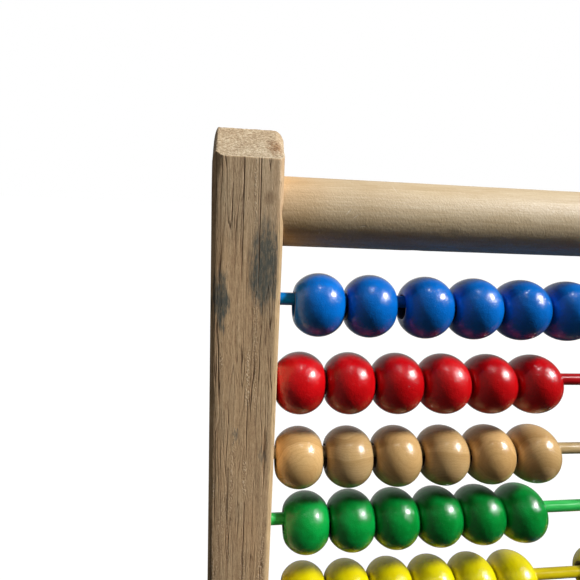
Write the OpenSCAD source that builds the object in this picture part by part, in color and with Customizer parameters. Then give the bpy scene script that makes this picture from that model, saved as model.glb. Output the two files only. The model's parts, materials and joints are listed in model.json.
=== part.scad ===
// Child's counting frame. Two square posts stand on crosswise feet, a round dowel
// joins them at the top and another at the bottom, and ten rods between them carry
// ten wooden beads each. The beads hang on their rods by wide bores and slide.
// Millimetres. +Z is up, +X is to the right and -Y is towards the child. The origin
// is on the table top, below the middle of the frame.

/* [Frame] */
// Clear width between the two posts
inner_w = 240; // [230:1:300]
// Width of a post, seen from the front
post_w = 20; // [20:0.5:30]
// Depth of a post, front to back
post_d = 22; // [21:0.5:30]
// Height and depth of the slope cut on a post's top, at the front and at the back
post_slope = 8.5; // [2:0.5:9]
// Height of a post's top over the middle of the top dowel
post_rise = 22.5; // [20:0.5:40]
// Rounding of the long edges of posts and feet
edge_r = 1.7; // [0.5:0.1:3]
// Rounding of the two sides of a post's top
top_r = 3; // [1:0.5:5]

/* [Dowels] */
// Diameter of the top and the bottom dowel
dowel_d = 20.5; // [14:0.5:20.5]
// Diameter of the tenon at each end of a dowel
tenon_d = 12; // [8:0.5:13]
// Length of that tenon, which is glued into the post
tenon_l = 7; // [5:0.5:7.5]
// Height of the middle of the bottom dowel
bottom_dowel_z = 36; // [34:1:50]

/* [Feet] */
// Length of a foot, front to back
foot_l = 130; // [90:1:160]
// Height of a foot
foot_h = 20; // [18:1:22]
// Height and depth of the slope at each end of a foot
foot_slope = 8.5; // [2:0.5:12]
// Length of the wood screw that holds a post on its foot
screw_l = 45; // [36:1:50]

/* [Rods] */
// Diameter of a rod
rod_d = 4; // [3:0.1:4.6]
// Distance from one rod down to the next, and from the dowels to the nearest rods
row_pitch = 26.5; // [26:0.5:35]
// Depth of the blind holes that hold the ends of a rod
rod_seat = 11; // [6:0.5:14]

/* [Beads] */
// Diameter of a bead
bead_d = 20; // [18:0.1:20.4]
// Length of a bead along its rod
bead_l = 15.6; // [14:0.1:16]
// Radius of a bead's bulging side, seen from the front
crown_r = 8.7; // [8.5:0.1:9.5]
// Radius of the shoulders between that side and the ends
shoulder_r = 4.8; // [4.6:0.1:5]
// Diameter of a bead's bore
bore_d = 7.6; // [6:0.1:8]
// Gap left between the top of a bore and the rod that it hangs on
hang_gap = 0.1; // [0.05:0.05:0.2]

/* [Hidden] */
$fn = 96;
fit = 0.05;            // radial clearance of a glued end in its hole
end_gap = 0.5;         // free depth left behind a glued end in its blind hole
weld = 0.01;           // lets a bead's shoulder arc cross its side arc, so that they join cleanly
bore_chamfer = 0.4;    // broken edge at a bore's two mouths
screw_d = 4;           // over the thread
screw_core_d = 2.8;
screw_head_d = 8;
screw_head_h = 2.6;
screw_sink = 0.4;      // head below the foot's underside
thread_pitch = 1.8;
thread_turns = 14;
recess_w = 1;          // arm of the cross cut in the screw's head
recess_l = 4.2;
recess_h = 1.5;
arc_steps = 6;         // straight steps in a rounded corner of the posts and feet
over = 1;              // how far a cutting shape runs past what it cuts

// The rows from the top down. Each has its colour, how far its holes are drilled above
// the even pitch, its slope to the right in degrees, the gap between neighbouring
// beads, and its groups of beads from left to right: how many, and the gap before them.
ROWS = [
    ["royalblue", 0.0, -0.3, 0.80, [[2, 4.9], [4, 2.8], [1, 26], [1, 10], [2, 8]]],
    ["crimson", 0.6, -0.3, 0.55, [[6, 0.3], [1, 30], [1, 12], [2, 8]]],
    ["burlywood", 0.6, -0.2, 1.20, [[6, 1.2], [2, 34], [1, 10], [1, 9]]],
    ["forestgreen", 2.0, 0.6, 0.25, [[6, 4.9], [1, 28], [2, 14], [1, 6]]],
    ["gold", -0.6, 0.5, 0.40, [[6, 5.6], [1, 22], [1, 16], [2, 6]]],
    ["royalblue", 0.0, 0.0, 0.60, [[3, 6], [2, 14], [3, 18], [2, 10]]],
    ["crimson", 0.0, 0.0, 0.60, [[2, 8], [2, 14], [2, 12], [2, 10], [2, 8]]],
    ["burlywood", 0.0, 0.0, 0.60, [[4, 5], [1, 20], [1, 12], [4, 10]]],
    ["forestgreen", 0.0, 0.0, 0.60, [[1, 10], [4, 16], [3, 14], [2, 9]]],
    ["gold", 0.0, 0.0, 0.60, [[2, 6], [2, 16], [2, 12], [2, 10], [2, 9]]]
];
row_count = len(ROWS);
last_row = row_count - 1;

function row_color(i) = ROWS[i][0];
function row_lift(i) = ROWS[i][1];
function row_slope(i) = ROWS[i][2];
function bead_gap(i) = ROWS[i][3];
function groups(i) = ROWS[i][4];
function last_group(i) = len(groups(i)) - 1;

top_dowel_z = bottom_dowel_z + (row_count + 1) * row_pitch;
post_top_z = top_dowel_z + post_rise;
post_x = (inner_w + post_w) / 2;
bead_drop = (bore_d - rod_d) / 2 - hang_gap;

// Height of a row's hole in the left post's inner face
function row_z(i) = top_dowel_z - (i + 1) * row_pitch + row_lift(i);

// Length taken up by the beads of group j in row i
function group_l(i, j) = groups(i)[j][0] * (bead_l + bead_gap(i)) - bead_gap(i);

// Where group j of row i starts, measured along the rod from the left post
function group_x(i, j) = groups(i)[j][1] + (j == 0 ? 0 : group_x(i, j - 1) + group_l(i, j - 1));

// The arcs of half a bead's outline, x out from the bore's axis and y along it
crown_x = bead_d / 2 - crown_r;
shoulder_y = bead_l / 2 - shoulder_r;
shoulder_x = crown_x + sqrt(pow(crown_r - shoulder_r, 2) - pow(shoulder_y, 2));
crown_y = crown_r * shoulder_y / (crown_r - shoulder_r);

function rod_name(i) = str("row_", i + 1, "_rod");
function beads_name(i, j) = str("row_", i + 1, "_beads_", chr(ord("a") + j));

// Points of a rectangle w by d about the origin, with a radius for the corners on +y
// and another for the corners on -y, going round anticlockwise
function round_rect(w, d, r_far, r_near) = [
    for (corner = [[1, 1, 0, r_far], [-1, 1, 90, r_far], [-1, -1, 180, r_near], [1, -1, 270, r_near]])
        let (r = corner[3])
            for (k = [0 : r > 0 ? arc_steps : 0])
                let (a = corner[2] + 90 * k / arc_steps)
                    [corner[0] * (w / 2 - r) + r * cos(a), corner[1] * (d / 2 - r) + r * sin(a)]
];

// Puts what it holds on row i: x runs along the rod from the left post's inner face
module on_row(i) {
    translate([-inner_w / 2, 0, row_z(i)]) rotate([0, -row_slope(i), 0]) children();
}

// A round bar along x, from x0 to x1
module bar_x(d, x0, x1) {
    translate([x0, 0, 0]) rotate([0, 90, 0]) cylinder(d = d, h = x1 - x0);
}

// The space that a dowel's two tenons need in the posts
module tenon_sockets(z) {
    socket = inner_w / 2 + tenon_l + end_gap;
    translate([0, 0, z]) bar_x(tenon_d + 2 * fit, -socket, socket);
}

// The space that the rods need in the posts
module rod_sockets() {
    hole = rod_seat + end_gap;
    for (i = [0 : last_row]) on_row(i) bar_x(rod_d + 2 * fit, -hole, inner_w + hole);
}

// A square post about the z axis: rounded long edges, rounded sides at the top, and a
// slope at the front and the back of its top
module post_blank() {
    post_h = post_top_z - foot_h;
    flat = post_d / 2 - post_slope;
    low_z = post_top_z - post_slope - post_d / 2;
    intersection() {
        translate([0, 0, foot_h]) linear_extrude(post_h)
            polygon(round_rect(post_w, post_d, edge_r, edge_r));
        translate([0, post_d, foot_h + post_h / 2]) rotate([90, 0, 0]) linear_extrude(2 * post_d)
            polygon(round_rect(post_w, post_h, top_r, 0));
        translate([-post_w, 0, 0]) rotate([90, 0, 90]) linear_extrude(2 * post_w)
            polygon([
                [-post_d, foot_h], [post_d, foot_h], [post_d, low_z],
                [flat, post_top_z], [-flat, post_top_z], [-post_d, low_z]
            ]);
    }
}

module post(side) {
    color("tan") difference() {
        translate([side * post_x, 0, 0]) post_blank();
        tenon_sockets(top_dowel_z);
        tenon_sockets(bottom_dowel_z);
        rod_sockets();
        translate([side * post_x, 0, foot_h - over])
            cylinder(d = screw_d + 2 * fit, h = screw_l - foot_h + screw_sink + 2 * over);
    }
}

// A round dowel between the posts, with a tenon turned on each end
module dowel(z) {
    color("wheat") translate([0, 0, z]) {
        bar_x(dowel_d, -inner_w / 2, inner_w / 2);
        bar_x(tenon_d, -inner_w / 2 - tenon_l, inner_w / 2 + tenon_l);
    }
}

module top_dowel() {
    dowel(top_dowel_z);
}

module bottom_dowel() {
    dowel(bottom_dowel_z);
}

// A foot lies front to back below its post and is bored for the screw from below
module foot(side) {
    flat = foot_l / 2 - foot_slope;
    color("tan") translate([side * post_x, 0, 0]) difference() {
        intersection() {
            translate([0, foot_l / 2, foot_h / 2]) rotate([90, 0, 0]) linear_extrude(foot_l)
                polygon(round_rect(post_w, foot_h, edge_r, edge_r / 2));
            translate([-post_w, 0, 0]) rotate([90, 0, 90]) linear_extrude(2 * post_w)
                polygon([
                    [-foot_l / 2, 0], [foot_l / 2, 0], [foot_l / 2, foot_h - foot_slope],
                    [flat, foot_h], [-flat, foot_h], [-foot_l / 2, foot_h - foot_slope]
                ]);
        }
        translate([0, 0, -over]) cylinder(d = screw_d + 2 * fit, h = foot_h + 2 * over);
        translate([0, 0, -over]) cylinder(d = screw_head_d + 2 * fit, h = over + screw_sink);
        translate([0, 0, screw_sink])
            cylinder(d1 = screw_head_d + 2 * fit, d2 = screw_core_d + 2 * fit, h = screw_head_h);
    }
}

// A countersunk wood screw pointing up, with its head at z = 0
module screw() {
    core = screw_core_d / 2;
    thread_z = screw_l - screw_core_d - thread_turns * thread_pitch;
    difference() {
        rotate_extrude() polygon(concat(
            [[0, 0], [screw_head_d / 2, 0], [core, screw_head_h]],
            [for (k = [0 : thread_turns - 1], p = [[core, 0], [screw_d / 2, 0.5]])
                [p[0], thread_z + (k + p[1]) * thread_pitch]],
            [[core, thread_z + thread_turns * thread_pitch], [0, screw_l]]
        ));
        for (a = [0, 90]) rotate([0, 0, a])
            translate([-recess_l / 2, -recess_w / 2, -over]) cube([recess_l, recess_w, over + recess_h]);
    }
}

module foot_screws() {
    color("silver") for (side = [-1, 1]) translate([side * post_x, 0, screw_sink]) screw();
}

module rod(i) {
    color(row_color(i)) on_row(i) bar_x(rod_d, -rod_seat, inner_w + rod_seat);
}

// Half of a bead's outline, cut off at its bore
module bead_outline() {
    reach = bead_d;
    difference() {
        union() {
            intersection() {
                translate([crown_x, 0]) circle(r = crown_r);
                translate([0, -crown_y]) square([reach, 2 * crown_y]);
            }
            for (s = [-1, 1]) translate([shoulder_x, s * shoulder_y]) circle(r = shoulder_r + weld);
        }
        translate([-reach, -reach]) square([reach + bore_d / 2, 2 * reach]);
        for (s = [-1, 1]) polygon([
            [bore_d / 2 - over, s * (bead_l / 2 - bore_chamfer - over)],
            [bore_d / 2 - over, s * (bead_l / 2 + over)],
            [bore_d / 2 + bore_chamfer + over, s * (bead_l / 2 + over)]
        ]);
    }
}

// A bead with its bore along x, its middle at the origin
module bead() {
    rotate([0, 90, 0]) rotate_extrude() bead_outline();
}

module beads(i, j) {
    color(row_color(i)) on_row(i)
        for (k = [0 : groups(i)[j][0] - 1])
            translate([group_x(i, j) + bead_l / 2 + k * (bead_l + bead_gap(i)), 0, -bead_drop]) bead();
}

post(-1);  // left_post
post(1);  // right_post
top_dowel();
bottom_dowel();
foot(-1);  // left_foot
foot(1);  // right_foot
foot_screws();
for (i = [0 : last_row]) {
    rod(i);
    for (j = [0 : last_group(i)])
        beads(i, j);
}
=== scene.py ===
"""Looks for the child's counting frame: weathered posts and feet, pale dowels, painted beads on painted rods.

Everything is in metres in the CAD's frame; lengths named or commented in mm are multiplied by MM.
"""

import json
import math

import bpy
import numpy as np
from mathutils import Matrix, Vector


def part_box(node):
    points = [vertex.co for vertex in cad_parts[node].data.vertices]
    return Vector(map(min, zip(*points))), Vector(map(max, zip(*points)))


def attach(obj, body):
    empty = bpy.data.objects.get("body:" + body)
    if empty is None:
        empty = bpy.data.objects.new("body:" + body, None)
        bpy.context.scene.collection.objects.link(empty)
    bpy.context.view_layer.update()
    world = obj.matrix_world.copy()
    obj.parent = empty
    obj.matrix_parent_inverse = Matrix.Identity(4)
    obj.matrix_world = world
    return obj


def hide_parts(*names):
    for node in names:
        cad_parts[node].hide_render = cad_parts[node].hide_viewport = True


MM = 0.001
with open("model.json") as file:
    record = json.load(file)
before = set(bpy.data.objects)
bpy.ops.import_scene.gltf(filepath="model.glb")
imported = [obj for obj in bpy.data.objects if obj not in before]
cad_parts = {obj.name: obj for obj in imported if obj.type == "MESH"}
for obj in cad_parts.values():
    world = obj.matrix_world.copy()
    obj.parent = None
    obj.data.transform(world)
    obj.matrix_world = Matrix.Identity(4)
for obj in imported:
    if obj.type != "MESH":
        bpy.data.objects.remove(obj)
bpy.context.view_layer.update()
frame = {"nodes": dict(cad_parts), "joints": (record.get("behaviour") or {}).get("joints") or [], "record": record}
record = frame["record"]


# ---------------------------------------------------------------- noise for shaping meshes


def lattice(x, y, z, seed):
    """A repeatable number from -1 to 1 for each whole-numbered point."""
    h = (x * 73856093) ^ (y * 19349663) ^ (z * 83492791) ^ (seed * 40503)
    for shift, factor in ((15, 73244475), (13, 50331653)):
        h &= 0xFFFFFFFF
        h = (h ^ (h >> shift)) * factor
    return ((h >> 7) & 0xFFFF) / 32767.5 - 1


def noise(x, y, z, seed=0):
    """Smooth noise from -1 to 1 at arrays of points."""
    at = [np.asarray(v, float) for v in np.broadcast_arrays(x, y, z)]
    cell = [np.floor(v).astype(np.int64) for v in at]
    ease = [t * t * (3 - 2 * t) for t in (v - c for v, c in zip(at, cell))]
    total = 0
    for i in (0, 1):
        for j in (0, 1):
            for k in (0, 1):
                weight = 1
                for t, far in zip(ease, (i, j, k)):
                    weight = weight * (t if far else 1 - t)
                total = total + weight * lattice(cell[0] + i, cell[1] + j, cell[2] + k, seed)
    return total


def ease_between(low, high, value):
    """A smooth step from 0 to 1 as value goes from low to high, which may be a fall."""
    t = np.clip((value - low) / (high - low), 0, 1)
    return t * t * (3 - 2 * t)


# ---------------------------------------------------------------- meshes


def make_piece(name, points_mm, faces, body, nodes, slot, material, **attributes):
    """A smooth mesh piece that rides on a body and stands for CAD nodes."""
    mesh = bpy.data.meshes.new(name)
    mesh.from_pydata((np.asarray(points_mm) * MM).tolist(), [], faces)
    for key, values in attributes.items():
        vector = values.ndim == 2
        layer = mesh.attributes.new(key, "FLOAT_VECTOR" if vector else "FLOAT", "POINT")
        layer.data.foreach_set("vector" if vector else "value", values.astype(np.float32).ravel())
    mesh.shade_smooth()
    mesh.materials.append(material)
    piece = bpy.data.objects.new(name, mesh)
    bpy.context.scene.collection.objects.link(piece)
    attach(piece, body)
    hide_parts(*nodes)
    return piece


def tube_faces(rows, columns, start=0, closed=False):
    """Quads between rows of points that each go round once."""
    faces = []
    for i in range(rows if closed else rows - 1):
        a, b = start + i * columns, start + ((i + 1) % rows) * columns
        for j in range(columns):
            k = (j + 1) % columns
            faces.append((a + j, a + k, b + k, b + j))
    return faces


CORNER_COLUMNS = 9
CORNERS = ((1, 1), (-1, 1), (-1, -1), (1, -1))


def sawn_bar(half, radii, heights, low, high, sides, wear, rings=34):
    """A squared timber along its third axis, in mm about its own middle line.

    half is half its width and depth, radii(k, c) the rounding of edge k at place c, heights the places of
    its rows, low and high its two end surfaces over (a, b), sides the columns on each side, wear(a, b, c, na,
    nb) how far the surface is worn in, rings the loops of faces on each end. Gives points, faces, how much of
    an end each point is, and how much of an edge.
    """
    columns = []
    for k in range(4):
        columns += [(k, 90 * (k + i / CORNER_COLUMNS), None) for i in range(CORNER_COLUMNS)]
        columns += [(k, 90 * (k + 1), i / sides[k]) for i in range(sides[k])]

    def section(c):
        """Places across the timber of each column at its own height c[:, j]."""
        a, b = np.zeros_like(c), np.zeros_like(c)

        def on_corner(k, degrees, place):
            r, turn = radii(k, place), math.radians(degrees)
            sign_a, sign_b = CORNERS[k]
            return sign_a * (half[0] - r) + r * math.cos(turn), sign_b * (half[1] - r) + r * math.sin(turn)

        for j, (k, degrees, along) in enumerate(columns):
            a[:, j], b[:, j] = on_corner(k, degrees, c[:, j])
            if along is not None:
                next_a, next_b = on_corner((k + 1) % 4, degrees, c[:, j])
                a[:, j] += along * (next_a - a[:, j])
                b[:, j] += along * (next_b - b[:, j])
        return a, b

    count = len(columns)
    turn = np.radians([d for _, d, _ in columns])
    na, nb = np.cos(turn)[None], np.sin(turn)[None]

    def worn(c):
        a, b = section(c)
        depth = wear(a, b, c, na, nb)
        return a - na * depth, b - nb * depth

    heights = np.asarray(heights, float)
    c = np.repeat(heights[:, None], count, axis=1)
    for surface, end, reach in ((low, heights[0], heights[0] + 20), (high, heights[-1], heights[-1] - 20)):
        rim = surface(*worn(np.full((1, count), end)))[0]
        share = np.clip((c - reach) / (end - reach), 0, 1)
        c = c + share * (rim - end)[None]
    a, b = worn(c)
    near_edge = [1.0 if along is None else math.exp(-min(along, 1 - along) * 22) for _, _, along in columns]
    edge = np.repeat(np.array(near_edge)[None], len(c), axis=0)
    points = [np.stack([a, b, c], -1).reshape(-1, 3)]
    end_share = [np.zeros(len(c) * count)]
    edge_share = [edge.ravel()]
    faces = tube_faces(len(c), count)
    start = len(points[0])
    for row, surface, flip in ((0, low, True), (len(c) - 1, high, False)):
        before = row * count
        for ring in range(1, rings + 1):
            share = 1 - (ring / (rings + 0.3)) ** 1.6
            ra, rb = a[row] * share, b[row] * share
            points.append(np.stack([ra, rb, surface(ra, rb)], -1))
            end_share.append(np.ones(count))
            edge_share.append(np.full(count, 1.0 if ring < 3 else 0.0))
            for j in range(count):
                k = (j + 1) % count
                quad = (before + j, before + k, start + k, start + j)
                faces.append(quad[::-1] if flip else quad)
            before, start = start, start + count
        lid = tuple(range(before, before + count))
        faces.append(lid[::-1] if flip else lid)
    return np.concatenate(points), faces, np.concatenate(end_share), np.concatenate(edge_share)


def lathe(profile, segments):
    """Points and faces of an open outline of (place along, radius), turned about the first axis."""
    turn = np.arange(segments) * 2 * math.pi / segments
    along = np.repeat(np.array([p[0] for p in profile])[:, None], segments, axis=1)
    radius = np.array([p[1] for p in profile])[:, None]
    points = np.stack([along, -radius * np.cos(turn), radius * np.sin(turn)], -1).reshape(-1, 3)
    faces = tube_faces(len(profile), segments)
    faces.append(tuple(range(segments))[::-1])
    faces.append(tuple(range((len(profile) - 1) * segments, len(profile) * segments)))
    return points, faces


# ---------------------------------------------------------------- shader nodes


class Shader:
    """One material. Inputs are numbers, colours, or other nodes' outputs."""

    def __init__(self, name):
        self.material = bpy.data.materials.new(name)
        self.material.use_nodes = True
        self.tree = self.material.node_tree
        self.tree.nodes.clear()

    def put(self, socket, value):
        if isinstance(value, bpy.types.NodeSocket):
            self.tree.links.new(value, socket)
        elif value is not None:
            if socket.type == "RGBA" and len(value) == 3:
                value = (*value, 1)
            socket.default_value = value

    def node(self, kind, inputs=(), **settings):
        node = self.tree.nodes.new("ShaderNode" + kind)
        for key, value in settings.items():
            setattr(node, key, value)
        for key, value in dict(inputs).items():
            self.put(node.inputs[key], value)
        return node

    def math(self, operation, a, b=None, c=None, clamp=False):
        inputs = {i: v for i, v in enumerate((a, b, c)) if v is not None}
        return self.node("Math", inputs, operation=operation, use_clamp=clamp).outputs[0]

    def vector(self, operation, a, b=None):
        node = self.node("VectorMath", {0: a} if b is None else {0: a, 1: b}, operation=operation)
        return node.outputs["Value"] if operation in ("LENGTH", "DOT_PRODUCT") else node.outputs["Vector"]

    def scaled(self, vector, factor):
        return self.node("VectorMath", {0: vector, "Scale": factor}, operation="SCALE").outputs["Vector"]

    def place_mm(self):
        """Where a point is in the CAD's frame, in mm."""
        return self.scaled(self.node("TexCoord").outputs["Object"], 1 / MM)

    def attribute(self, name, vector=False):
        node = self.node("Attribute", attribute_name=name)
        return node.outputs["Vector" if vector else "Fac"]

    def noise(self, vector, scale=1.0, detail=2.0, roughness=0.5, color=False):
        inputs = {"Vector": vector, "Scale": scale, "Detail": detail, "Roughness": roughness}
        node = self.node("TexNoise", inputs)
        return node.outputs["Color" if color else "Fac"]

    def cells(self, vector, scale=1.0, feature="F1", output="Distance"):
        return self.node("TexVoronoi", {"Vector": vector, "Scale": scale}, feature=feature).outputs[output]

    def between(self, value, low, high, to_low=0.0, to_high=1.0):
        """A smooth step from to_low to to_high as value goes from low to high, which may be a fall."""
        if low > high:
            low, high, to_low, to_high = high, low, to_high, to_low
        inputs = {"Value": value, "From Min": low, "From Max": high, "To Min": to_low, "To Max": to_high}
        return self.node("MapRange", inputs, interpolation_type="SMOOTHSTEP").outputs["Result"]

    def mix(self, share, a, b, blend="MIX"):
        node = self.node("Mix", {"Factor": share}, data_type="RGBA", blend_type=blend)
        self.put(node.inputs[6], a)
        self.put(node.inputs[7], b)
        return node.outputs[2]

    def ramp(self, value, *stops):
        node = self.node("ValToRGB", {"Fac": value})
        band = node.color_ramp
        while len(band.elements) < len(stops):
            band.elements.new(0.5)
        for element, (place, color) in zip(band.elements, stops):
            element.position, element.color = place, (*color, 1)
        return node.outputs["Color"]

    def spot(self, place, middle, radii, tilt=0.0, sharp=0.2):
        """1 within a soft-edged ellipsoid in mm, tilted about the y axis, 0 outside."""
        away = self.vector("SUBTRACT", place, middle)
        turned = self.node("Mapping", {"Vector": away, "Rotation": (0, math.radians(tilt), 0)}).outputs[0]
        scaled = self.vector("MULTIPLY", turned, tuple(1 / r for r in radii))
        return self.between(self.vector("LENGTH", scaled), 1.0, sharp)

    def finish(self, color, roughness, height_mm=None, **constants):
        """Ends the material; a surface height in mm becomes its bump."""
        inputs = {"Base Color": color, "Roughness": roughness}
        if height_mm is not None:
            bump = self.node("Bump", {"Height": height_mm, "Distance": MM, "Strength": 1.0})
            inputs["Normal"] = bump.outputs["Normal"]
        inputs.update(constants)
        shader = self.node("BsdfPrincipled", inputs)
        output = self.node("OutputMaterial")
        self.tree.links.new(shader.outputs["BSDF"], output.inputs["Surface"])
        return self.material


def weathered_wood(name, along, shift, inner=None, cracks=(), flecks=(), stains=(), tints=()):
    """Old unpainted softwood, placed in mm.

    along is the axis of its grain, and shift makes one timber's grain differ from another's. inner is
    (x from, x to), where its cleaner inner side begins, whose face behind the front edge is painted paler
    as painted light. cracks are (x, z from, z to, half width) and flecks (x, z from, z to, half width) on
    the front. stains are (middle, radii, strength) of mould, and tints are (middle, radii, strength, colour
    to multiply by).
    """
    s = Shader(name)
    place = s.place_mm()
    xyz = s.node("SeparateXYZ", {0: place})
    x, y, z = (xyz.outputs[i] for i in range(3))
    across = (x, y) if along == "z" else (x, z)
    length = z if along == "z" else y

    def stretched(u, v, w, fine, long):
        """Grain coordinates: fine per mm across the grain and long per mm along it."""
        parts = {0: s.math("MULTIPLY", u, fine), 1: s.math("MULTIPLY", v, fine),
                 2: s.math("MULTIPLY_ADD", w, long, shift)}
        return s.node("CombineXYZ", parts).outputs[0]

    def valleys(scale, long, width, detail=1.5):
        """1 in thin lines that follow the grain, 0 elsewhere."""
        field = s.noise(stretched(u, v, length, scale, long), detail=detail)
        return s.between(s.math("ABSOLUTE", s.math("SUBTRACT", field, 0.5)), width, 0.0)

    slow = s.node("SeparateXYZ", {0: s.noise(stretched(*across, length, 0.10, 0.030), detail=1, color=True)})
    quick = s.node("SeparateXYZ", {0: s.noise(stretched(*across, length, 0.45, 0.095), detail=1, color=True)})
    u, v = across
    for bend, size in ((slow, 2.6), (quick, 0.6)):
        u = s.math("ADD", u, s.math("MULTIPLY", s.math("SUBTRACT", bend.outputs[0], 0.5), size))
        v = s.math("ADD", v, s.math("MULTIPLY", s.math("SUBTRACT", bend.outputs[1], 0.5), size))

    ridges = s.noise(stretched(u, v, length, 1.05, 0.036), detail=3, roughness=0.55)
    fibres = s.noise(stretched(u, v, length, 2.7, 0.44), detail=4, roughness=0.7)
    chaff = s.noise(stretched(*across, length, 2.3, 1.30), detail=2, roughness=0.7)
    furrows = valleys(0.62, 0.015, 0.036)
    grooves = valleys(1.35, 0.036, 0.050)
    line = valleys(0.62, 0.015, 0.020)
    sparse = s.between(s.noise(stretched(*across, length, 0.50, 0.030), detail=1), 0.42, 0.62, 0.15, 1.0)
    sparse = s.math("MULTIPLY", sparse, s.between(z, 305.0, 328.0, 1.0, 0.45))
    furrows, grooves = (s.math("MULTIPLY", part, sparse) for part in (furrows, grooves))
    pore = s.between(s.noise(stretched(u, v, length, 2.3, 0.33), detail=2, roughness=0.6), 0.60, 0.70)
    cracked = s.between(s.noise(stretched(*across, length, 0.35, 0.035), detail=1), 0.44, 0.58)
    crack = s.math("MULTIPLY", line, cracked)
    straighter = s.math("MULTIPLY_ADD", s.math("SUBTRACT", u, x), 0.22, x)
    for at, top, bottom, width in cracks:
        near = s.between(s.math("ABSOLUTE", s.math("SUBTRACT", straighter, at)), width, 0.0)
        span = s.math("MULTIPLY", s.between(z, bottom, bottom + 14), s.between(z, top + 1.2, top - 0.2))
        front = s.between(y, -9.0, -10.2)
        crack = s.math("MAXIMUM", crack, s.math("MULTIPLY", s.math("MULTIPLY", near, span), front))

    blotches = s.noise(stretched(*across, length, 0.11, 0.045), detail=2)
    warm = s.noise(stretched(*across, length, 0.16, 0.020), detail=2)
    tone = s.math("MULTIPLY_ADD", fibres, 0.46, s.math("MULTIPLY", ridges, 0.38))
    tone = s.math("MULTIPLY_ADD", chaff, 0.16, tone)
    color = s.ramp(tone, (0.34, (0.330, 0.204, 0.110)), (0.46, (0.495, 0.324, 0.177)),
                   (0.56, (0.605, 0.414, 0.234)), (0.68, (0.740, 0.536, 0.328)))
    color = s.mix(s.between(blotches, 0.44, 0.70, 0.0, 0.45), color, (0.78, 0.84, 0.90), "MULTIPLY")
    color = s.mix(s.between(warm, 0.52, 0.70, 0.0, 0.35), color, (0.62, 0.385, 0.200))
    color = s.mix(s.math("MULTIPLY", furrows, 0.75), color, (0.46, 0.38, 0.32), "MULTIPLY")
    color = s.mix(s.math("MULTIPLY", grooves, 0.50), color, (0.54, 0.46, 0.40), "MULTIPLY")
    color = s.mix(s.math("MULTIPLY", pore, 0.45), color, (0.45, 0.36, 0.29), "MULTIPLY")

    band = s.between(s.noise(stretched(*across, length, 0.42, 0.018), detail=1), 0.62, 0.74, 0.0, 0.6)
    for at, top, bottom, width in flecks:
        near = s.between(s.math("ABSOLUTE", s.math("SUBTRACT", straighter, at)), width, width * 0.3)
        span = s.math("MULTIPLY", s.between(z, bottom - 2, bottom + 2), s.between(z, top + 2, top - 2))
        front = s.between(y, -9.0, -10.2)
        band = s.math("MAXIMUM", band, s.math("MULTIPLY", s.math("MULTIPLY", near, span), front))
    fleck = s.math("MULTIPLY", s.between(chaff, 0.50, 0.66), band)
    pit = s.math("MULTIPLY", s.between(chaff, 0.46, 0.34), band)
    color = s.mix(s.math("MULTIPLY", fleck, 0.65), color, (0.84, 0.67, 0.46))
    color = s.mix(s.math("MULTIPLY", pit, 0.55), color, (0.24, 0.140, 0.070))
    for middle, radii, strength, tint in tints:
        share = s.math("MULTIPLY", s.spot(place, middle, radii), strength)
        color = s.mix(share, color, tint, "MULTIPLY")

    shake = s.noise(stretched(*across, length, 1.3, 0.22), detail=3, color=True)
    shake = s.vector("MULTIPLY", s.vector("SUBTRACT", shake, (0.5, 0.5, 0.5)), (4.5, 1.0, 14.0))
    ragged = s.vector("ADD", place, shake)
    soot = s.noise(stretched(*across, length, 1.9, 0.5), detail=3, roughness=0.7)
    soot = s.between(soot, 0.38, 0.62, 1.0, 0.50)
    for middle, radii, strength in stains:
        share = s.math("MULTIPLY", s.spot(ragged, middle, radii, sharp=0.45), strength)
        color = s.mix(s.math("MULTIPLY", share, soot), color, (0.112, 0.115, 0.094))
    color = s.mix(s.math("MULTIPLY", crack, 0.85), color, (0.120, 0.070, 0.038))

    edge = s.attribute("edge")
    if inner:
        side = 1 if inner[1] > inner[0] else -1
        wander = s.math("MULTIPLY", s.noise(stretched(*across, length, 0.5, 0.12), detail=2), 0.9 * side)
        wander = s.math("SUBTRACT", s.math("ADD", wander, x), s.between(z, 320, 331, 0.0, 1.2 * side))
        clean_and_lit = s.between(wander, inner[0] + 0.45 * side, inner[1] + 0.45 * side)
        clean_and_lit_color = s.ramp(tone, (0.34, (0.435, 0.290, 0.150)), (0.64, (0.620, 0.445, 0.245)))
        # Behind its front edge the inner face is painted much paler: painted light, so that it throws more light
        # onto the beads beside it.
        clean_and_lit_color = s.mix(s.between(y, -9.4, -7.6), clean_and_lit_color, (0.93, 0.660, 0.350))
        color = s.mix(s.math("MULTIPLY", clean_and_lit, 0.9), color, clean_and_lit_color)
    else:
        color = s.mix(s.math("MULTIPLY", edge, 0.5), color, (0.66, 0.470, 0.260))

    end = s.attribute("end")
    grains = s.noise(s.vector("MULTIPLY", place, (1.3, 2.9, 2.9)), detail=4, roughness=0.8)
    cells = s.cells(s.vector("MULTIPLY", place, (0.8, 1.9, 1.9)), scale=1.5)
    patches = s.noise(place, scale=0.35, detail=1)
    end_tone = s.math("MULTIPLY_ADD", cells, -0.16, s.math("ADD", grains, 0.07))
    end_tone = s.math("MULTIPLY_ADD", s.math("SUBTRACT", patches, 0.5), 0.20, end_tone)
    end_color = s.ramp(end_tone, (0.33, (0.24, 0.150, 0.080)), (0.44, (0.44, 0.310, 0.185)),
                       (0.54, (0.57, 0.430, 0.275)), (0.66, (0.80, 0.680, 0.470)))
    for middle, radii, strength, tint in tints:
        share = s.math("MULTIPLY", s.spot(ragged, middle, radii), strength)
        end_color = s.mix(share, end_color, tint, "MULTIPLY")
    end_color = s.mix(s.math("MULTIPLY", edge, 0.35), end_color, (0.88, 0.74, 0.500))
    color = s.mix(end, color, end_color)

    # Painted shade: a near-black ring in the worn dimple round each rod, where the rod goes into the post.
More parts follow.
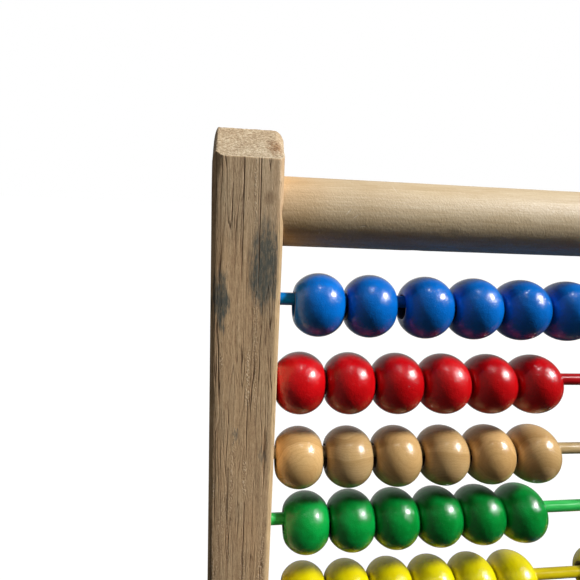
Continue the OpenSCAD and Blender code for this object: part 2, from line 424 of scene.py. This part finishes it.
    color = s.mix(s.math("MULTIPLY", s.attribute("hole"), 0.8), color, (0.06, 0.04, 0.025))
    side_height = s.math("MULTIPLY", ridges, 0.085)
    for part, size in ((fibres, 0.080), (furrows, -0.150), (grooves, -0.070), (pore, -0.040), (crack, -0.14),
                       (fleck, 0.13), (pit, -0.05)):
        side_height = s.math("MULTIPLY_ADD", part, size, side_height)
    height = s.node("Mix", {"Factor": end}, data_type="FLOAT")
    s.put(height.inputs[2], side_height)
    s.put(height.inputs[3], s.math("MULTIPLY", end_tone, 0.20))
    roughness = s.between(tone, 0.3, 0.7, 0.92, 0.70)
    return s.finish(color, roughness, height.outputs[0], **{"Specular IOR Level": 0.3})


def turned_wood(name, marks=()):
    """The dowels: pale sanded softwood with the ripple of the lathe. marks are (middle, radii, tilt,
    depth)."""
    s = Shader(name)
    place = s.place_mm()
    long_grain = s.vector("MULTIPLY", place, (0.035, 0.80, 0.80))
    grain = s.noise(long_grain, detail=4, roughness=0.6)
    streaks = s.noise(s.vector("MULTIPLY", place, (0.16, 3.2, 3.2)), detail=2)
    mottle = s.noise(s.vector("MULTIPLY", place, (0.10, 0.12, 0.12)), detail=2)
    speckle = s.noise(place, scale=1.7, detail=3, roughness=0.7)
    tone = s.math("ADD", s.math("MULTIPLY", grain, 0.55), s.math("MULTIPLY", streaks, 0.45))
    color = s.ramp(tone, (0.30, (0.54, 0.400, 0.232)), (0.50, (0.63, 0.488, 0.303)),
                   (0.70, (0.71, 0.580, 0.385)))
    color = s.mix(s.between(mottle, 0.40, 0.66, 0.0, 0.35), color, (0.86, 0.80, 0.68), "MULTIPLY")
    color = s.mix(s.between(speckle, 0.56, 0.76, 0.0, 0.28), color, (0.90, 0.80, 0.62))
    color = s.mix(s.between(speckle, 0.42, 0.26, 0.0, 0.30), color, (0.40, 0.27, 0.14))
    reach = s.math("ABSOLUTE", s.node("SeparateXYZ", {0: place}).outputs[0])
    # Darker from 72 to 100 mm from the middle. Warmer and a little darker from 100 mm to the posts, which is
    # painted warm light bounced from the posts.
    color = s.mix(s.between(reach, 72.0, 100.0, 0.0, 0.80), color, (0.88, 0.85, 0.82), "MULTIPLY")
    color = s.mix(s.between(reach, 100.0, 121.0, 0.0, 0.60), color, (1.08, 0.90, 0.70), "MULTIPLY")
    slanted = s.node("Mapping", {"Vector": place, "Rotation": (0.0, math.radians(32), 0.0)}).outputs[0]
    chatter = s.noise(s.vector("MULTIPLY", slanted, (1.5, 1.0, 0.85)), detail=3, roughness=0.65)
    height = s.math("MULTIPLY", speckle, 0.050)
    height = s.math("MULTIPLY_ADD", chatter, 0.080, height)
    height = s.math("MULTIPLY_ADD", grain, 0.025, height)
    for middle, radii, tilt, depth in marks:
        mark = s.spot(place, middle, radii, tilt, sharp=0.3)
        height = s.math("MULTIPLY_ADD", mark, -depth, height)
        color = s.mix(s.math("MULTIPLY", mark, 0.35), color, (0.93, 0.86, 0.72))
    return s.finish(color, s.between(speckle, 0.3, 0.7, 0.62, 0.48), height)


def bead_layers(s, local, spacing):
    """Growth layers that run along a bead's bore: 0 to 1 within each layer."""
    bend = s.noise(s.vector("MULTIPLY", local, (0.10, 0.22, 0.22)), detail=2, color=True)
    bent = s.vector("ADD", local, s.scaled(s.vector("SUBTRACT", bend, (0.5, 0.5, 0.5)), 2.6))
    flat = s.vector("MULTIPLY", s.vector("SUBTRACT", bent, (0.0, 0.0, -34.0)), (0.16, 1.0, 1.0))
    return s.math("FRACT", s.math("MULTIPLY", s.vector("LENGTH", flat), 1 / spacing))


def bore_share(s, local):
    """1 inside a bead's bore and on its broken edge, 0 on the outside."""
    radius = s.vector("LENGTH", s.vector("MULTIPLY", local, (0.0, 1.0, 1.0)))
    wobble = s.math("MULTIPLY", s.noise(local, scale=0.9, detail=2), 0.5)
    return s.between(s.math("ADD", radius, wobble), 4.35, 4.10)


GLOSS_COAT = {"Coat Weight": 0.30, "Coat Roughness": 0.11, "Coat IOR": 1.5}
LACQUER_COAT = {"Coat Weight": 0.14, "Coat Roughness": 0.17, "Coat IOR": 1.5}


def painted_beads(name, color, deep, lift):
    """Gloss paint on turned wood. deep is its colour where it lies thick, lift that of small pale specks."""
    s = Shader(name)
    local = s.attribute("bead_place", vector=True)
    tone = s.attribute("bead_tone")
    layer = bead_layers(s, local, 1.7)
    fibres = s.noise(s.vector("MULTIPLY", local, (0.5, 3.4, 3.4)), detail=2)
    cloud = s.noise(local, scale=0.22, detail=2)
    grit = s.noise(local, scale=2.5, detail=2, roughness=0.6)
    lumps = s.noise(local, scale=0.5, detail=1)
    share = s.math("MULTIPLY_ADD", tone, -0.25, s.math("MULTIPLY_ADD", cloud, 0.80, 0.25))
    paint = s.mix(s.between(share, 0.30, 0.72), color, deep)
    paint = s.mix(s.between(fibres, 0.50, 0.80, 0.0, 0.22), paint, deep)
    dust = s.between(s.noise(local, scale=3.6, detail=1), 0.74, 0.80)
    paint = s.mix(s.math("MULTIPLY", dust, 0.35), paint, lift)
    # Bare wood inside the bore, darkened almost to black: partly painted shade inside the bore.
    bare = s.mix(fibres, (0.050, 0.030, 0.016), (0.120, 0.075, 0.040))
    bore = bore_share(s, local)
    paint = s.mix(s.math("MULTIPLY", bore, 0.85), paint, bare)
    height = s.math("MULTIPLY", grit, 0.110)
    height = s.math("MULTIPLY_ADD", lumps, 0.100, height)
    height = s.math("MULTIPLY_ADD", fibres, 0.020, height)
    height = s.math("MULTIPLY_ADD", s.between(layer, 0.72, 0.98), 0.006, height)
    gloss = s.math("MULTIPLY_ADD", s.math("POWER", tone, 2.0), 0.12, s.between(lumps, 0.35, 0.65, 0.13, 0.16))
    rough = s.node("Mix", {"Factor": bore}, data_type="FLOAT")
    s.put(rough.inputs[2], gloss)
    s.put(rough.inputs[3], 0.8)
    return s.finish(paint, rough.outputs[0], height, **GLOSS_COAT, **{"Specular IOR Level": 0.40})


def plain_beads(name):
    """Beads of clear-lacquered wood with their growth layers showing."""
    s = Shader(name)
    local = s.attribute("bead_place", vector=True)
    tone = s.attribute("bead_tone")
    layer = bead_layers(s, local, 6.1)
    fine = bead_layers(s, local, 0.72)
    fibres = s.noise(s.vector("MULTIPLY", local, (0.45, 3.0, 3.0)), detail=3, roughness=0.6)
    cloud = s.noise(local, scale=0.14, detail=2)
    grit = s.noise(local, scale=2.5, detail=2, roughness=0.6)
    late = s.math("MULTIPLY", s.between(layer, 0.25, 0.98), s.between(layer, 1.0, 0.985))
    color = s.mix(late, (0.695, 0.440, 0.183), (0.580, 0.350, 0.133))
    color = s.mix(s.between(fine, 0.45, 0.90, 0.0, 0.20), color, (0.44, 0.240, 0.080))
    color = s.mix(s.between(fibres, 0.46, 0.74, 0.0, 0.24), color, (0.42, 0.225, 0.075))
    color = s.mix(s.between(cloud, 0.40, 0.66, 0.0, 0.35), color, (0.92, 0.84, 0.70), "MULTIPLY")
    shade = s.mix(tone, (1.0, 1.0, 1.0), (0.74, 0.79, 0.88))
    color = s.mix(1.0, color, shade, "MULTIPLY")
    bore = bore_share(s, local)
    # Dark wood inside the bore: partly painted shade inside the bore.
    color = s.mix(s.math("MULTIPLY", bore, 0.75), color, (0.14, 0.085, 0.04))
    height = s.math("MULTIPLY", grit, 0.075)
    height = s.math("MULTIPLY_ADD", fibres, 0.022, height)
    height = s.math("MULTIPLY_ADD", late, -0.008, height)
    rough = s.node("Mix", {"Factor": bore}, data_type="FLOAT")
    s.put(rough.inputs[2], s.between(fibres, 0.3, 0.7, 0.16, 0.23))
    s.put(rough.inputs[3], 0.8)
    return s.finish(color, rough.outputs[0], height, **LACQUER_COAT, **{"Specular IOR Level": 0.36})


def painted_rod(name, color, deep):
    """Gloss paint on steel rod, rubbed by the beads."""
    s = Shader(name)
    place = s.place_mm()
    runs = s.noise(s.vector("MULTIPLY", place, (0.12, 0.9, 0.9)), detail=2)
    rubs = s.noise(s.vector("MULTIPLY", place, (0.22, 3.0, 3.0)), detail=3, roughness=0.65)
    grit = s.noise(place, scale=2.2, detail=2)
    paint = s.mix(s.between(runs, 0.36, 0.66), color, deep)
    bare = s.between(rubs, 0.70, 0.78)
    paint = s.mix(s.math("MULTIPLY", bare, 0.45), paint, (0.42, 0.41, 0.39))
    height = s.math("MULTIPLY", grit, 0.006)
    height = s.math("MULTIPLY_ADD", runs, 0.020, height)
    height = s.math("MULTIPLY_ADD", bare, -0.006, height)
    return s.finish(paint, s.between(rubs, 0.3, 0.7, 0.13, 0.24), height)


def zinc(name):
    """Bright zinc-plated steel for the screws."""
    s = Shader(name)
    place = s.place_mm()
    patch = s.noise(place, scale=0.7, detail=3)
    turned = s.noise(s.vector("MULTIPLY", place, (1.0, 1.0, 6.0)), detail=2)
    color = s.ramp(patch, (0.32, (0.40, 0.40, 0.39)), (0.55, (0.62, 0.62, 0.60)), (0.72, (0.72, 0.70, 0.62)))
    height = s.math("MULTIPLY", turned, 0.012)
    return s.finish(color, s.between(patch, 0.3, 0.7, 0.26, 0.44), height, Metallic=1.0)


# ---------------------------------------------------------------- the camera, which comes first

CAMERA_PLACE = Vector((-131.6, -131.2, 329.65)) * MM
CAMERA_FORWARD = Vector((0.11345, 0.97475, -0.19231))
CAMERA_RIGHT = Vector((0.99326, -0.10666, 0.04533))

camera = bpy.data.objects.new("camera", bpy.data.cameras.new("camera"))
camera.data.sensor_width = 36
camera.data.lens = 27.06
camera.data.clip_start = 0.005
right = CAMERA_RIGHT.normalized()
up = right.cross(CAMERA_FORWARD).normalized()
axes = Matrix((right, up, right.cross(up))).transposed()
camera.matrix_world = Matrix.Translation(CAMERA_PLACE) @ axes.to_4x4()
bpy.context.scene.collection.objects.link(camera)
bpy.context.scene.camera = camera


# ---------------------------------------------------------------- posts and feet

POST_HALF = (10, 11)  # half a post's width and depth
FOOT_HALF = (10, 10)  # half a foot's width and height
TOP_FLAT = 2.5  # how far a post's flat top reaches to the front and the back of its middle
ROD_R = 2.0
DIMPLE_IN, DIMPLE_OUT = 2.15, 2.75  # the radii of the worn dimple round a rod

joints = {joint["child"]: joint for joint in frame["joints"]}
row_names = [node for node in frame["nodes"] if node.endswith("_rod")]


def node_span(node, axis):
    """The middle of a CAD node and how far it reaches to each side along an axis, in mm."""
    low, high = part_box(node)
    middle = np.array((low + high) / 2)
    places = np.array([vertex.co for vertex in frame["nodes"][node].data.vertices]) - middle
    along = places @ np.array(axis)
    return middle / MM, float(along.max() - along.min()) / MM


def row_axis(row):
    """The direction of a row's rod, which is that of its beads' joints."""
    return np.array(joints[row + "_beads_a"]["axis"], float)


def rod_height(rod, x_mm):
    """Height in mm of a rod's middle line at x."""
    axis = row_axis(rod[: -len("_rod")])
    middle, _ = node_span(rod, axis)
    return middle[2] + (x_mm - middle[0]) * axis[2] / axis[0]


def worn_end(top, flat, left, right):
    """A post's top: flat in the middle, sloping to the front and the back, rounded at its left and right.
    left and right are the width and height of those roundings."""

    def surface(a, b):
        over = np.abs(b) - flat
        slope = (over + np.sqrt(over * over + 0.10)) / 2
        side = 0
        for sign, (width, height) in ((-1, left), (1, right)):
            reach = np.clip((sign * a - (POST_HALF[0] - width)) / width, 0, 1)
            fall = height * (1 - np.sqrt(1 - 0.98 * reach * reach))
            side = side + (fall if sign < 0 else fall * (1 - 0.85 * ease_between(5.5, 10.5, np.abs(b))))
        rough = 0.04 * (1 + noise(a * 0.55, b * 0.55, 0 * a, 5))
        rough = rough + 0.045 * (1 + noise(a * 2.1, b * 2.1, 0 * a, 6))
        return top - slope - side - rough

    return surface


def make_post(name, material, side, top_left, top_right, radii, sanded, seed):
    """A post with a dimple round each rod. side is 1 for the right one, top_left and top_right are the
    roundings of its top, and radii and sanded its own wear."""
    low, high = (np.array(v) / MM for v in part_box(name))
    middle = (low + high) / 2
    inner_x = middle[0] - side * POST_HALF[0]
    rods = [rod_height(rod, inner_x) for rod in row_names]
    heights = list(np.arange(low[2], high[2] - 10.5, 1.55))
    for z in rods:
        heights = [h for h in heights if abs(h - z) > 3.3] + list(np.arange(z - 3.0, z + 3.05, 0.4))
    heights = sorted(heights) + list(np.linspace(high[2] - 10, high[2], 16))

    def wear(a, b, c, na, nb):
        depth = 0.05 * (1 + noise(a * 0.12, b * 0.12, c * 0.020, seed))
        depth = depth + 0.022 * (1 + noise(a * 0.75, b * 0.75, c * 0.045, seed + 1))
        corner = np.clip(1 - np.maximum(np.abs(na), np.abs(nb)), 0, 1) * 3.4
        chips = np.clip(noise(a * 0.1, b * 0.1, c * 0.11, seed + 2) - 0.25, 0, 1) ** 1.5
        depth = depth + corner * (0.08 * (1 + noise(a * 0.3, b * 0.3, c * 0.30, seed + 3)) + 0.8 * chips)
        depth = depth + sanded(a, b, c, na, nb)
        return depth + 0.32 * near_rod(b, c, -side * na)

    def near_rod(b, c, facing):
        share = 0 * c
        for z in rods:
            share = np.maximum(share, ease_between(DIMPLE_OUT, DIMPLE_IN, np.hypot(b, c - z)))
        return share * (facing > 0.9)

    points, faces, end, edge = sawn_bar(
        POST_HALF, radii, heights, lambda a, b: low[2] + 0 * a,
        worn_end(high[2], TOP_FLAT, top_left, top_right), (48, 50, 48, 50), wear)
    facing = np.where(-side * points[:, 0] > POST_HALF[0] - 0.8, 1.0, 0.0)
    # Where the ring of painted shade round each rod goes, on the post's inner side.
    hole = near_rod(points[:, 1], points[:, 2], facing)
    make_piece(name + "_timber", points + (middle[0], middle[1], 0), faces, "frame", [name], "post_wood",
               material, end=end, edge=edge, hole=hole)


def make_foot(name, material, seed):
    """A foot, whose two ends slope in towards their top."""
    low, high = (np.array(v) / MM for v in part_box(name))
    middle = (low + high) / 2
    reach = high[1]

    def slope_end(sign):
        def surface(a, b):
            over = b - 1.5
            fall = (over + np.sqrt(over * over + 0.4)) / 2
            fall = fall + 0.12 * (1 + noise(a * 0.5, b * 0.5, 0 * a, seed + 4))
            return sign * (reach - fall)
        return surface

    def wear(a, b, c, na, nb):
        depth = 0.05 * (1 + noise(a * 0.12, b * 0.12, c * 0.03, seed))
        depth = depth + 0.02 * (1 + noise(a * 0.7, b * 0.7, c * 0.06, seed + 1))
        corner = np.clip(1 - np.maximum(np.abs(na), np.abs(nb)), 0, 1) * 3.4
        chips = np.clip(noise(a * 0.1, b * 0.1, c * 0.12, seed + 2) - 0.2, 0, 1) ** 1.5
        depth = depth + corner * (0.10 * (1 + noise(a * 0.3, b * 0.3, c * 0.3, seed + 3)) + 0.9 * chips)
        return depth * np.where(nb < -0.5, 0.35, 1.0)

    heights = np.linspace(-reach, reach, 112)
    points, faces, end, edge = sawn_bar(
        FOOT_HALF, lambda k, c: (1.7 if k < 2 else 0.85) + 0 * c, heights, slope_end(-1), slope_end(1),
        (44, 44, 44, 44), wear, rings=26)
    placed = np.stack([points[:, 0] + middle[0], points[:, 2], points[:, 1] + middle[2]], -1)
    make_piece(name + "_timber", placed, [face[::-1] for face in faces], "frame", [name], "foot_wood",
               material, end=end, edge=edge, hole=0 * end)


old_left = weathered_wood(
    "old_wood_left", "z", 3.0, inner=(-121.9, -121.3),
    cracks=[(-131.3, 341.0, 306.0, 0.28), (-126.7, 341.0, 302.0, 0.30), (-134.3, 334.0, 318.0, 0.24),
            (-138.0, 262.0, 226.0, 0.24), (-134.0, 250.0, 226.0, 0.26), (-128.7, 272.0, 250.0, 0.26),
            (-128.9, 238.0, 196.0, 0.26), (-139.0, 232.0, 196.0, 0.22)],
    flecks=[(-128.9, 288.0, 271.0, 0.9), (-129.0, 253.0, 242.0, 0.8), (-136.6, 286.0, 282.0, 0.6),
            (-138.3, 246.0, 238.0, 0.5)],
    stains=[((-124.9, -11, 313.5), (5.3, 4.5, 16.0), 0.95), ((-124.8, -11, 309.5), (5.4, 4.5, 12.5), 0.93),
            ((-137.1, -11, 302.8), (3.1, 4.5, 10.8), 0.95),
            ((-137.0, -11, 301.5), (2.9, 4.5, 9.5), 0.92),
            ((-132.0, -11, 260.8), (1.7, 3.0, 2.6), 0.75), ((-123.6, -11, 254.2), (1.6, 3.0, 3.6), 0.50)],
    # The first tint darkens and reddens the left front edge, which faces away from the key light: partly painted
    # shade.
    tints=[((-140.5, -11, 334.0), (2.8, 5, 22.0), 0.50, (0.62, 0.44, 0.36)),
           ((-128.0, -11, 334.0), (18.0, 12, 24.0), 0.80, (1.02, 1.10, 1.20)),
           ((-123.6, -11, 337.0), (5.0, 4, 15.0), 0.85, (1.12, 1.15, 1.19)),
           ((-124.3, -11, 331.0), (2.2, 4.5, 2.8), 0.80, (0.58, 0.52, 0.48)),
           ((-122.9, -8, 345.5), (3.4, 3.8, 4.8), 0.80, (0.56, 0.38, 0.25)),
           ((-140.4, -3, 345.0), (2.0, 16, 14.0), 0.90, (0.34, 0.25, 0.21))])
old_right = weathered_wood(
    "old_wood_right", "z", 41.0, inner=(121.9, 121.3),
    cracks=[(128.2, 341.0, 306.0, 0.28), (133.1, 300.0, 250.0, 0.22)],
    flecks=[(127.0, 230.0, 205.0, 0.9)],
    stains=[((125.0, -11, 190.0), (3.0, 4.5, 9.0), 0.6), ((134.0, -11, 80.0), (3.6, 4.5, 12.0), 0.7)])
old_foot = weathered_wood(
    "old_wood_feet", "y", 87.0,
    stains=[((-134.0, -40.0, 20), (4.0, 9.0, 4.0), 0.6), ((126.0, 30.0, 20), (3.5, 11.0, 4.0), 0.6)])


def left_radii(k, c):
    """The left post's front left edge is worn rounder towards its top."""
    return 1.9 + 1.7 * ease_between(332, 344, c) if k == 2 else 1.8 + 0 * c


def left_sanding(a, b, c, na, nb):
    """Its right side leans in towards the top, and its front curves away near its left edge."""
    lean = 0.42 * ease_between(316, 344, c) * np.clip(na, 0, 1)
    return lean + 0.26 * np.clip((-a - 5.4) / 2.8, 0, 1) ** 2 * np.clip(-nb, 0, 1)


make_post("left_post", old_left, -1, (1.5, 7.5), (3.4, 5.2), left_radii, left_sanding, 11)
make_post("right_post", old_right, 1, (3.0, 3.4), (2.6, 3.6), lambda k, c: 1.8 + 0.2 * (k == 3) + 0 * c,
          lambda a, b, c, na, nb: 0.3 * ease_between(320, 345, c) * np.clip(na, 0, 1), 23)
make_foot("left_foot", old_foot, 37)
make_foot("right_foot", old_foot, 53)

for socket in frame["nodes"]["foot_screws"].material_slots:
    socket.material = zinc("zinc_screw")


# ---------------------------------------------------------------- dowels

TENON_R = 6.0
TENON_L = 6.5  # half a millimetre short of the CAD's, so that the body reaches into the post's worn side


def make_dowel(name, material, seed):
    """A turned dowel with a tenon at each end and a few dents."""
    low, high = (np.array(v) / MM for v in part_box(name))
    middle = (low + high) / 2
    reach, radius = high[0], (high[2] - low[2]) / 2
    shoulder = reach - TENON_L
    body = [(x, radius) for x in (-shoulder, -shoulder + 0.06, *np.linspace(-shoulder + 1, shoulder - 1, 200),
                                  shoulder - 0.06, shoulder)]
    profile = [(-reach, TENON_R - 0.4), (-reach + 0.4, TENON_R), (-shoulder, TENON_R), *body,
               (shoulder, TENON_R), (reach - 0.4, TENON_R), (reach, TENON_R - 0.4)]
    points, faces = lathe(profile, 96)
    x, y, z = points.T
    turned = np.hypot(y, z) > TENON_R + 1
    depth = 0.03 * (1 + noise(x * 0.05, y * 0.15, z * 0.15, seed))
    depth = depth + 0.012 * (1 + noise(x * 0.5, y * 0.3, z * 0.3, seed + 1))
    dents = np.clip(noise(x * 0.14, y * 0.25, z * 0.25, seed + 2) - 0.55, 0, 1) * 0.30
    shrink = 1 - np.where(turned, (depth + dents) / radius, 0)
    points = np.stack([x + middle[0], y * shrink + middle[1], z * shrink + middle[2]], -1)
    make_piece(name + "_turned", points, faces, "frame", [name], "dowel_wood", material)


top_wood = turned_wood("dowel_wood_top", [
    ((-102.0, -10.2, 328.4), (0.22, 2.5, 1.5), -38, 0.05),
    ((-99.9, -10.0, 327.2), (0.18, 2.5, 1.2), -50, 0.04),
    ((-97.4, -9.8, 324.6), (0.20, 2.5, 1.1), -78, 0.05),
    ((-109.6, -9.0, 322.2), (0.42, 2.0, 0.36), 0, 0.05),
    ((-88.0, -6.0, 335.0), (0.16, 2.5, 2.2), 24, 0.03),
    ((12.0, -9.5, 330.0), (0.2, 2.5, 2.4), -30, 0.04)])
bottom_wood = turned_wood("dowel_wood_bottom", [((40.0, -10.0, 38.0), (0.2, 2.5, 2.0), 35, 0.04)])
make_dowel("top_dowel", top_wood, 61)
make_dowel("bottom_dowel", bottom_wood, 67)


# ---------------------------------------------------------------- rods and beads

BEAD_R, BEAD_L, CROWN_R, SHOULDER_R, BORE_R = 10.0, 15.6, 8.7, 4.8, 3.8
BEAD_SEGMENTS = 64


def bead_outline():
    """A closed outline of a bead as (place along its bore, radius), in mm: the same arcs as the CAD's."""
    crown_x, shoulder_y = BEAD_R - CROWN_R, BEAD_L / 2 - SHOULDER_R
    shoulder_x = crown_x + math.sqrt((CROWN_R - SHOULDER_R) ** 2 - shoulder_y ** 2)
    meet = math.asin(shoulder_y / (CROWN_R - SHOULDER_R))
    lip = BORE_R + 0.4
    last = math.acos((lip - shoulder_x) / SHOULDER_R)
    half = [(CROWN_R * math.sin(t), crown_x + CROWN_R * math.cos(t)) for t in np.linspace(0, meet, 11)]
    half += [(shoulder_y + SHOULDER_R * math.sin(t), shoulder_x + SHOULDER_R * math.cos(t))
             for t in np.linspace(meet, last, 9)[1:]]
    half += [(BEAD_L / 2 - 0.16, BORE_R + 0.13), (BEAD_L / 2 - 0.42, BORE_R), (BEAD_L / 2 - 2.4, BORE_R),
             (1.5, BORE_R)]
    return half + [(-x, r) for x, r in half[:0:-1]]


OUTLINE = bead_outline()
paints = {
    "blue": painted_beads(
        "blue_gloss", (0.0010, 0.178, 0.680), (0.0005, 0.140, 0.560), (0.30, 0.55, 0.85)),
    "red": painted_beads(
        "red_gloss", (0.605, 0.0035, 0.0060), (0.480, 0.0020, 0.0040), (0.85, 0.35, 0.33)),
    "natural": plain_beads("clear_lacquer"),
    "green": painted_beads(
        "green_gloss", (0.0020, 0.310, 0.046), (0.0008, 0.200, 0.024), (0.35, 0.70, 0.42)),
    "yellow": painted_beads(
        "yellow_gloss", (0.750, 0.650, 0.0020), (0.680, 0.560, 0.0015), (0.95, 0.92, 0.45)),
}
rod_paints = {
    "blue": painted_rod("blue_rod", (0.002, 0.200, 0.620), (0.001, 0.160, 0.520)),
    "red": painted_rod("red_rod", (0.420, 0.005, 0.008), (0.340, 0.003, 0.006)),
    "natural": painted_rod("natural_rod", (0.560, 0.420, 0.220), (0.470, 0.330, 0.150)),
    "green": painted_rod("green_rod", (0.050, 0.520, 0.110), (0.025, 0.420, 0.075)),
    "yellow": painted_rod("yellow_rod", (0.600, 0.480, 0.004), (0.520, 0.400, 0.003)),
}
COLORS = list(paints)

# How pale and dull each bead of a group is, from 0 to 1, where that matters; the others are set at random.
# A higher value gives paler, duller paint and darker lacquer.
BEAD_TONES = {
    "row_1_beads_a": (0.35, 0.15),
    "row_1_beads_b": (0.10, 0.60, 0.20, 0.55),
    "row_2_beads_a": (0.60, 0.45, 0.30, 0.95, 0.45, 0.40),
    "row_3_beads_a": (0.30, 0.90, 0.45, 0.65, 0.10, 0.50),
    "row_4_beads_a": (0.85, 0.45, 0.35, 0.15, 0.10, 0.40),
    "row_5_beads_a": (0.30, 0.35, 0.45, 0.75, 0.80, 0.50),
}


def make_rod(rod, color, seed):
    """A painted rod along its row's own slope, a little uneven in thickness."""
    axis = row_axis(rod[: -len("_rod")])
    middle, length = node_span(rod, axis)
    steps = np.linspace(-length / 2, length / 2, 150)
    profile = [(-length / 2, ROD_R - 0.5), *[(x, ROD_R) for x in steps[1:-1]], (length / 2, ROD_R - 0.5)]
    points, faces = lathe(profile, 40)
    x, y, z = points.T
    shrink = 1 - 0.010 * (1 + noise(x * 0.12, y * 0.5, z * 0.5, seed))
    y, z = y * shrink, z * shrink
    points = np.stack([x * axis[0] - z * axis[2], y, x * axis[2] + z * axis[0]], -1) + middle
    make_piece(rod + "_painted", points, faces, "frame", [rod], color + "_rod", rod_paints[color])


def make_beads(node, color, seed):
    """One group of beads as one piece. Each bead has its own roll, small tilt, grain and tone."""
    axis = np.array(joints[node]["axis"], float)
    middle, length = node_span(node, axis)
    count = record["physics"]["collision_pieces"][node]
    step = (length - BEAD_L) / (count - 1) if count > 1 else 0.0
    chance = np.random.default_rng(seed)
    turn = np.arange(BEAD_SEGMENTS) * 2 * math.pi / BEAD_SEGMENTS
    along = np.repeat(np.array([p[0] for p in OUTLINE])[:, None], BEAD_SEGMENTS, axis=1)
    radius = np.array([p[1] for p in OUTLINE])[:, None]
    points, faces, places, tones = [], [], [], []
    for i in range(count):
        uneven = noise(along * 0.16, np.cos(turn)[None] * 1.4, np.sin(turn)[None] * 1.4, seed + i)
        outside = (radius > BORE_R + 0.3) * 1.0
        r = radius - outside * 0.035 * (1 + uneven)
        bead = np.stack([along, -r * np.cos(turn), r * np.sin(turn)], -1).reshape(-1, 3)
        roll = chance.uniform(0, 2 * math.pi)
        yaw, nod = chance.uniform(-1, 1) * 0.012, chance.uniform(-1, 1) * 0.005
        own = bead @ np.array(Matrix.Rotation(roll, 3, "X"))
        own = own @ np.array(Matrix.Rotation(chance.uniform(-0.12, 0.12), 3, "Z"))
        places.append(own + chance.uniform(-400, 400, 3) * (1.0, 0.0, 0.0))
        tones.append(np.full(len(bead), BEAD_TONES.get(node, {i: chance.uniform(0, 1)})[i]))
        bead = bead @ np.array(Matrix.Rotation(yaw, 3, "Z")) @ np.array(Matrix.Rotation(nod, 3, "Y"))
        bead[:, 0] += (i - (count - 1) / 2) * step
        x, y, z = bead.T
        points.append(np.stack([x * axis[0] - z * axis[2], y, x * axis[2] + z * axis[0]], -1) + middle)
        faces += tube_faces(len(OUTLINE), BEAD_SEGMENTS, start=i * len(bead), closed=True)
    make_piece(node + "_turned", np.concatenate(points), faces, node, [node], color + "_beads", paints[color],
               bead_place=np.concatenate(places), bead_tone=np.concatenate(tones))


for index, rod in enumerate(row_names):
    row = rod[: -len("_rod")]
    color = COLORS[(int(row.split("_")[1]) - 1) % len(COLORS)]
    make_rod(rod, color, 200 + index)
    for group, node in enumerate(n for n in sorted(frame["nodes"]) if n.startswith(row + "_beads_")):
        make_beads(node, color, 1000 + 97 * index + 11 * group)


# ---------------------------------------------------------------- floor and light

FLOOR_HALF = 30  # in metres
floor_shader = Shader("studio_floor")
paper = floor_shader.node("BsdfDiffuse", {"Color": (0.36, 0.36, 0.355)})
glow = floor_shader.node("Emission", {"Color": (1.0, 1.0, 0.995), "Strength": 0.62})
both = floor_shader.node("AddShader", {0: paper.outputs[0], 1: glow.outputs[0]})
floor_shader.tree.links.new(both.outputs[0], floor_shader.node("OutputMaterial").inputs["Surface"])
floor_mesh = bpy.data.meshes.new("floor")
floor_corners = [(x * FLOOR_HALF, y * FLOOR_HALF, 0) for x, y in ((-1, -1), (1, -1), (1, 1), (-1, 1))]
floor_mesh.from_pydata(floor_corners, [], [(0, 1, 2, 3)])
floor_mesh.materials.append(floor_shader.material)
floor = bpy.data.objects.new("floor", floor_mesh)
bpy.context.scene.collection.objects.link(floor)
floor.visible_diffuse = floor.visible_glossy = False


def sun(name, towards, strength, degrees):
    """A far lamp in the direction towards, as wide in the sky as degrees."""
    light = bpy.data.lights.new(name, "SUN")
    light.energy, light.angle = strength, math.radians(degrees)
    lamp = bpy.data.objects.new(name, light)
    lamp.rotation_euler = Vector(towards).to_track_quat("Z", "Y").to_euler()
    bpy.context.scene.collection.objects.link(lamp)


sun("key", (0.744, -0.298, 0.598), 4.8, 9)
sun("overhead", (0.005, -0.23, 0.974), 0.45, 1.5)

world = bpy.data.worlds.new("studio")
bpy.context.scene.world = world
world.use_nodes = True
nodes, links = world.node_tree.nodes, world.node_tree.links
nodes.clear()
way = nodes.new("ShaderNodeTexCoord")


def sky_part(direction, start, stop, dark, bright):
    """Light that rises from dark to bright as the dot product with a direction goes from start to stop."""
    slant = nodes.new("ShaderNodeVectorMath")
    slant.operation = "DOT_PRODUCT"
    slant.inputs[1].default_value = direction
    links.new(way.outputs["Generated"], slant.inputs[0])
    part = nodes.new("ShaderNodeMapRange")
    part.interpolation_type = "SMOOTHSTEP"
    for key, value in {"From Min": start, "From Max": stop, "To Min": dark, "To Max": bright}.items():
        part.inputs[key].default_value = value
    links.new(slant.outputs["Value"], part.inputs["Value"])
    return part.outputs["Result"]


sky = nodes.new("ShaderNodeMath")
sky.operation = "ADD"
links.new(sky_part((0.0, 0.45, 0.893), -0.5, 0.9, 0.03, 0.17), sky.inputs[0])
links.new(sky_part((0.0, 0.995, 0.10), 0.62, 0.97, 0.0, 0.46), sky.inputs[1])
sky_and_left = nodes.new("ShaderNodeMath")
sky_and_left.operation = "ADD"
links.new(sky.outputs[0], sky_and_left.inputs[0])
links.new(sky_part((-1.0, 0.0, 0.0), 0.1, 0.9, 0.0, 0.09), sky_and_left.inputs[1])
dim, white = nodes.new("ShaderNodeBackground"), nodes.new("ShaderNodeBackground")
links.new(sky_and_left.outputs[0], dim.inputs["Strength"])
dim.inputs["Color"].default_value = (1.0, 0.99, 0.97, 1)
white.inputs["Color"].default_value = (1, 1, 1, 1)
rays, either = nodes.new("ShaderNodeLightPath"), nodes.new("ShaderNodeMixShader")
links.new(rays.outputs["Is Camera Ray"], either.inputs[0])
links.new(dim.outputs[0], either.inputs[1])
links.new(white.outputs[0], either.inputs[2])
links.new(either.outputs[0], nodes.new("ShaderNodeOutputWorld").inputs["Surface"])

bpy.context.scene.view_settings.view_transform = "Standard"
